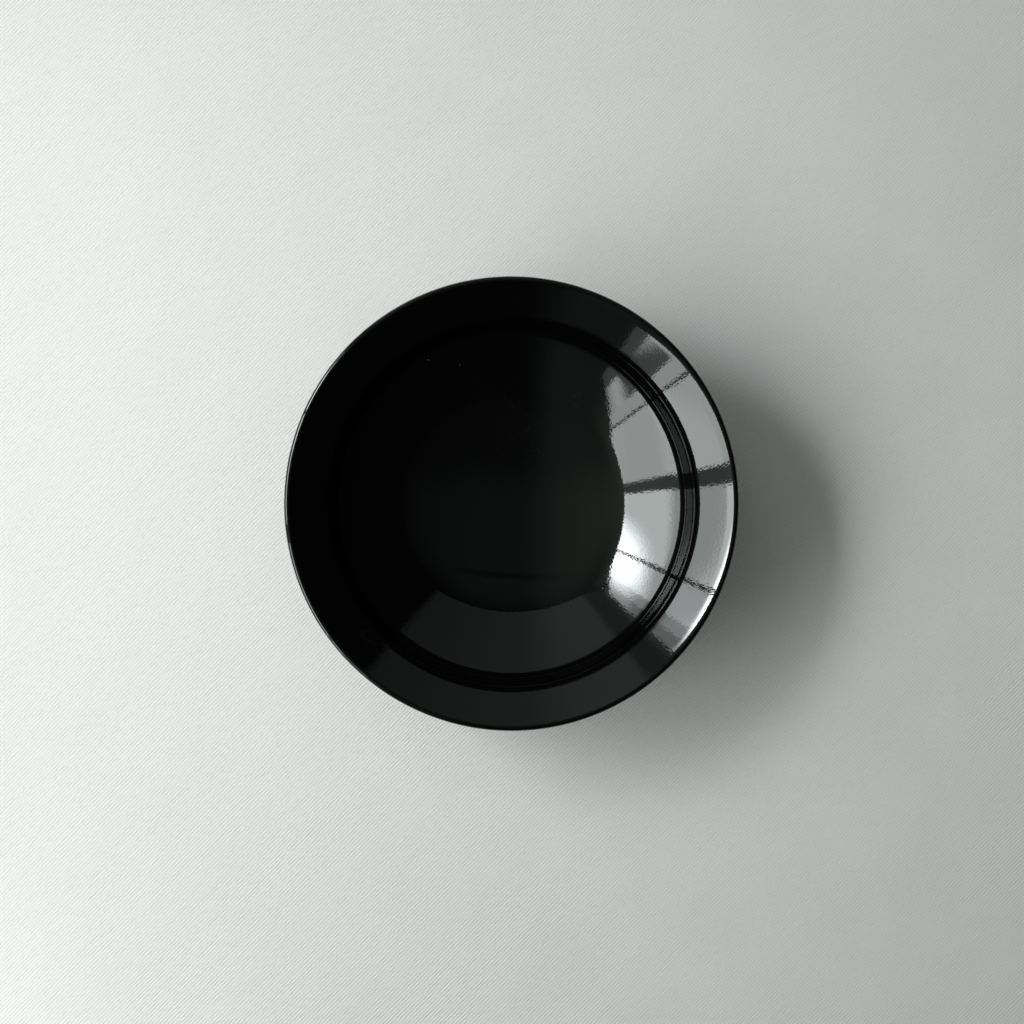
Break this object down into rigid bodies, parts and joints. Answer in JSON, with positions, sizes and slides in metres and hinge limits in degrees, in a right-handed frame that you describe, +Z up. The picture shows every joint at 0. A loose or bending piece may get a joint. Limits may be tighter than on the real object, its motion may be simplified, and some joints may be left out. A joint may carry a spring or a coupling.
{
  "type": "rice bowl",
  "caption": "Round glossy black stoneware rice bowl with a dished well, a stepped riser, a sloping flange with a thin round lip, and a turned foot ring left bare.",
  "frame": {"origin": "centre of the foot ring's standing face, on the surface that the bowl stands on", "axes": "+Z up along the bowl's axis, +X to the right and +Y to the top of the picture"},
  "size_m": [0.15, 0.15, 0.046],
  "materials": {
    "bare_stoneware": "matte",
    "black_glaze": "gloss"
  },
  "bodies": {
    "root": {"stoneware_body": "bare_stoneware", "glaze_coat": "black_glaze", "foot_recess_glaze": "black_glaze"}
  },
  "joints": []
}
